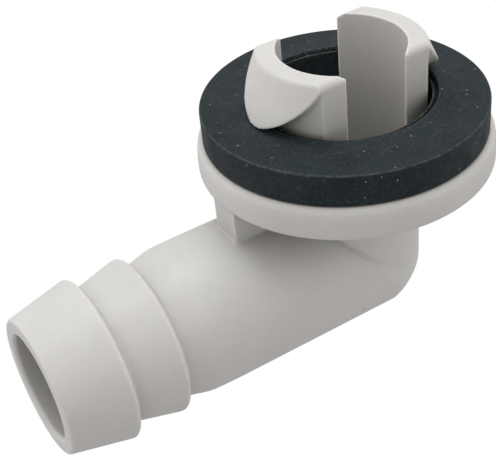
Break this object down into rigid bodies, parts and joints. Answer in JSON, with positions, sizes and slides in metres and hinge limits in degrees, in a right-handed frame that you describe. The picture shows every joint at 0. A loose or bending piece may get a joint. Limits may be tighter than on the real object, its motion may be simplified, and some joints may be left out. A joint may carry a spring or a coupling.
{
  "type": "condensate drain elbow",
  "caption": "Moulded right-angle drain elbow: a flanged spigot with sprung snap claws and a rubber sealing ring, turning into a ribbed hose barb.",
  "frame": {"origin": "centre of the sealing ring's top face, the flat outer annulus that meets the underside of the drain pan", "axes": "+Z along the spigot, up through the pan's hole; +X along the hose barb, out of its open end; the XZ plane is the plane of symmetry"},
  "size_m": [0.0584, 0.0338, 0.0359],
  "materials": {
    "moulded_plastic": "satin warm light grey moulding",
    "seal_rubber": "matt black rubber"
  },
  "bodies": {
    "elbow": {"elbow_body": "moulded_plastic"},
    "claw_front": {"snap_claw_front": "moulded_plastic"},
    "claw_rear": {"snap_claw_rear": "moulded_plastic"},
    "gasket": {"rubber_gasket": "seal_rubber"}
  },
  "joints": [
    {"name": "claw_front_flex", "type": "hinge", "parent": "elbow", "child": "claw_front", "pos_m": [0.0066, 0, -0.0035], "axis": [0, -1, 0], "range_deg": [0, 8], "stiffness_Nm_per_rad": 2},
    {"name": "claw_rear_flex", "type": "hinge", "parent": "elbow", "child": "claw_rear", "pos_m": [-0.0066, 0, -0.0035], "axis": [0, 1, 0], "range_deg": [0, 8], "stiffness_Nm_per_rad": 2},
    {"name": "gasket_turn", "type": "hinge", "parent": "elbow", "child": "gasket", "pos_m": [0, 0, 0], "axis": [0, 0, 1], "continuous": true}
  ]
}
